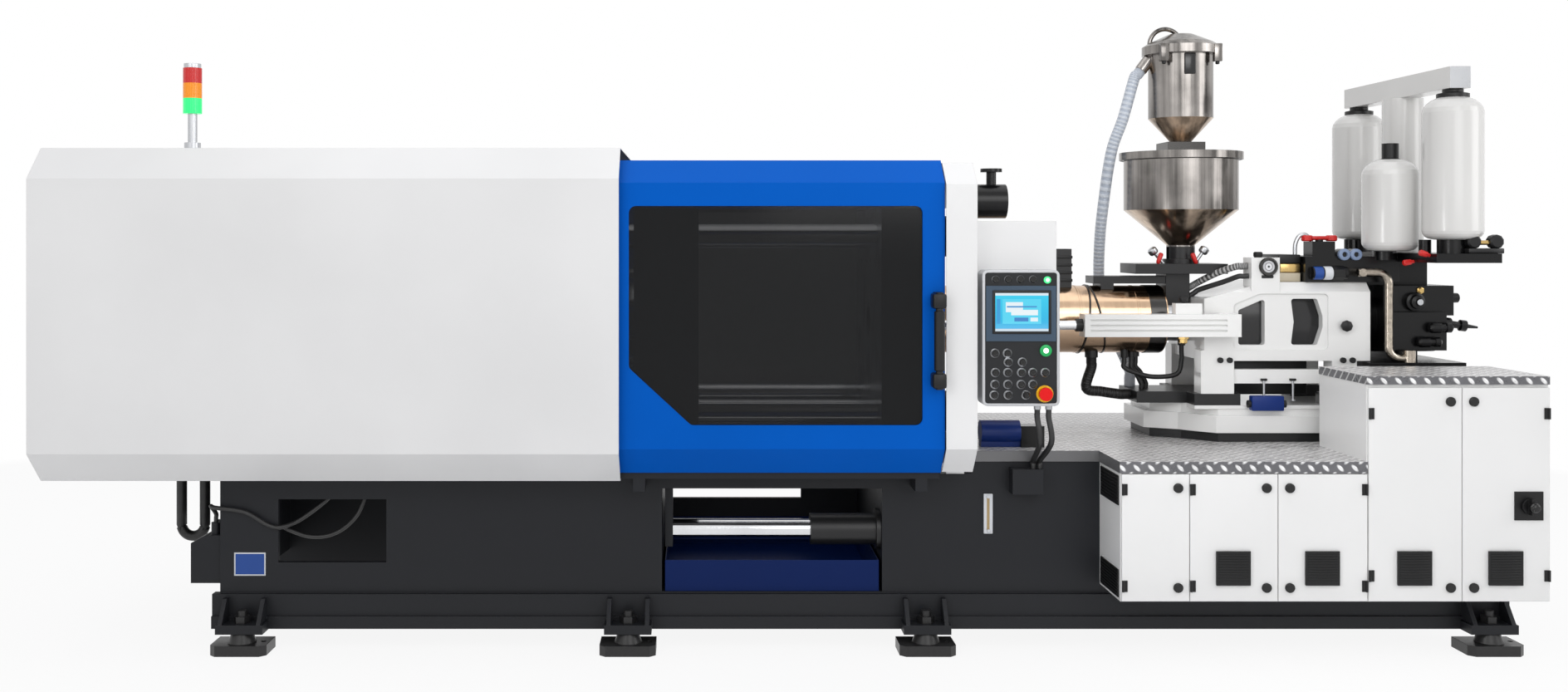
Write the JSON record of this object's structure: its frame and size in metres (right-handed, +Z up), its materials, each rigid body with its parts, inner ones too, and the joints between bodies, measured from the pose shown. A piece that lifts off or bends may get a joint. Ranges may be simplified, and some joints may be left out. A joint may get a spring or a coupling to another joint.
{
  "type": "semi-solid injection die casting machine",
  "caption": "Horizontal die casting machine with a guarded hydraulic clamp, screw injection unit with hopper and accumulators, operator panel and switch cabinets.",
  "frame": {"origin": "on the floor, under the middle of the machine", "axes": "+X to the injection end, -Y to the operator, +Z up"},
  "size_m": [7.34, 2.0999, 3.23],
  "materials": {
    "charcoal_paint": "satin",
    "black_paint": "satin",
    "chequer_plate": "chequered",
    "navy_paint": "satin",
    "chrome": "polished",
    "white_paint": "satin",
    "warm_white_paint": "satin",
    "bright_steel": "brushed",
    "black_plastic": "matte",
    "lens_plastic": "glossy",
    "silver_paint": "satin",
    "panel_grey": "matte",
    "screen_glass": "glossy",
    "black_rubber": "satin",
    "blue_paint": "satin",
    "tinted_pane": "glossy",
    "white_gloss": "gloss",
    "bronze": "polished",
    "stainless": "brushed",
    "clear_hose": "glossy",
    "red_plastic": "glossy",
    "green_plastic": "glossy"
  },
  "bodies": {
    "frame": {"base_frame": "charcoal_paint", "levelling_feet": "black_paint", "deck_plates": "chequer_plate", "drip_tray": "navy_paint", "lubrication_unit": "charcoal_paint", "tie_bars": "chrome", "tie_bar_nuts": "black_paint", "rear_platen": "charcoal_paint", "fixed_platen": "charcoal_paint", "clamp_cylinder": "charcoal_paint", "traverse_cylinder": "black_paint", "clamp_cover_front": "white_paint", "clamp_cover_rear": "white_paint", "gate_rails": "bright_steel", "guard_post": "warm_white_paint", "signal_tower": "black_plastic", "tower_lenses": "lens_plastic", "panel_column": "white_paint", "panel_housing": "silver_paint", "panel_face": "panel_grey", "panel_screen": "screen_glass", "panel_cables": "black_rubber", "base_hoses": "black_rubber", "injection_base": "white_paint", "carriage_rods": "chrome", "cabinet": "white_paint", "deck_hydraulics": "black_paint"},
    "front_gate": {"front_gate": "blue_paint", "front_window": "tinted_pane", "front_handle": "black_plastic"},
    "rear_gate": {"rear_gate": "blue_paint", "rear_window": "tinted_pane"},
    "platen": {"moving_platen": "charcoal_paint", "clamp_ram": "chrome", "traverse_rod": "chrome"},
    "ejector": {"ejector": "bright_steel"},
    "carriage": {"injection_housing": "white_gloss", "carriage_saddle": "black_paint", "barrel": "bright_steel", "barrel_cover": "bronze", "carriage_cylinders": "white_paint", "hopper": "stainless", "hopper_base": "black_paint", "loader": "stainless", "loader_hose": "clear_hose", "barrel_hoses": "black_rubber", "oil_pipe": "bright_steel", "accumulators": "white_gloss", "accumulator_frame": "white_gloss", "injection_cylinder": "black_paint"},
    "piston": {"injection_piston": "chrome"},
    "screw": {"screw": "bright_steel"},
    "door_1": {"door_1": "white_paint"},
    "door_2": {"door_2": "white_paint"},
    "door_3": {"door_3": "white_paint"},
    "door_4": {"door_4": "white_paint"},
    "door_5": {"door_5": "white_paint"},
    "main_switch": {"main_switch": "red_plastic"},
    "e_stop": {"e_stop": "red_plastic"},
    "start_button": {"start_button": "green_plastic"}
  },
  "joints": [
    {"name": "front_gate_slide", "type": "slide", "parent": "frame", "child": "front_gate", "axis": [-1, 0, 0], "range_m": [0, 1.25]},
    {"name": "rear_gate_slide", "type": "slide", "parent": "frame", "child": "rear_gate", "axis": [-1, 0, 0], "range_m": [0, 1.25]},
    {"name": "platen_slide", "type": "slide", "parent": "frame", "child": "platen", "axis": [1, 0, 0], "range_m": [0, 0.69]},
    {"name": "ejector_slide", "type": "slide", "parent": "platen", "child": "ejector", "axis": [1, 0, 0], "range_m": [0, 0.12]},
    {"name": "carriage_slide", "type": "slide", "parent": "frame", "child": "carriage", "axis": [1, 0, 0], "range_m": [0, 0.35]},
    {"name": "injection_slide", "type": "slide", "parent": "carriage", "child": "piston", "axis": [1, 0, 0], "range_m": [0, 0.25]},
    {"name": "screw_turn", "type": "hinge", "parent": "piston", "child": "screw", "pos_m": [2.42, 0, 1.63], "axis": [1, 0, 0], "continuous": true},
    {"name": "door_1_hinge", "type": "hinge", "parent": "frame", "child": "door_1", "pos_m": [1.612, -1.007, 0.324], "axis": [0, 0, -1], "range_deg": [0, 90]},
    {"name": "door_2_hinge", "type": "hinge", "parent": "frame", "child": "door_2", "pos_m": [1.94, -1.007, 0.324], "axis": [0, 0, -1], "range_deg": [0, 90]},
    {"name": "door_3_hinge", "type": "hinge", "parent": "frame", "child": "door_3", "pos_m": [2.786, -1.007, 0.324], "axis": [0, 0, 1], "range_deg": [0, 90]},
    {"name": "door_4_hinge", "type": "hinge", "parent": "frame", "child": "door_4", "pos_m": [2.8, -1.007, 0.324], "axis": [0, 0, -1], "range_deg": [0, 90]},
    {"name": "door_5_hinge", "type": "hinge", "parent": "frame", "child": "door_5", "pos_m": [3.664, -1.007, 0.324], "axis": [0, 0, 1], "range_deg": [0, 90]},
    {"name": "main_switch_turn", "type": "hinge", "parent": "door_5", "child": "main_switch", "pos_m": [3.566, -1.006, 0.784], "axis": [0, 1, 0], "range_deg": [0, 90]},
    {"name": "e_stop_push", "type": "slide", "parent": "frame", "child": "e_stop", "axis": [0, 1, 0], "range_m": [0, 0.006]},
    {"name": "start_button_push", "type": "slide", "parent": "frame", "child": "start_button", "axis": [0, 1, 0], "range_m": [0, 0.006], "stiffness_N_per_m": 1500}
  ]
}
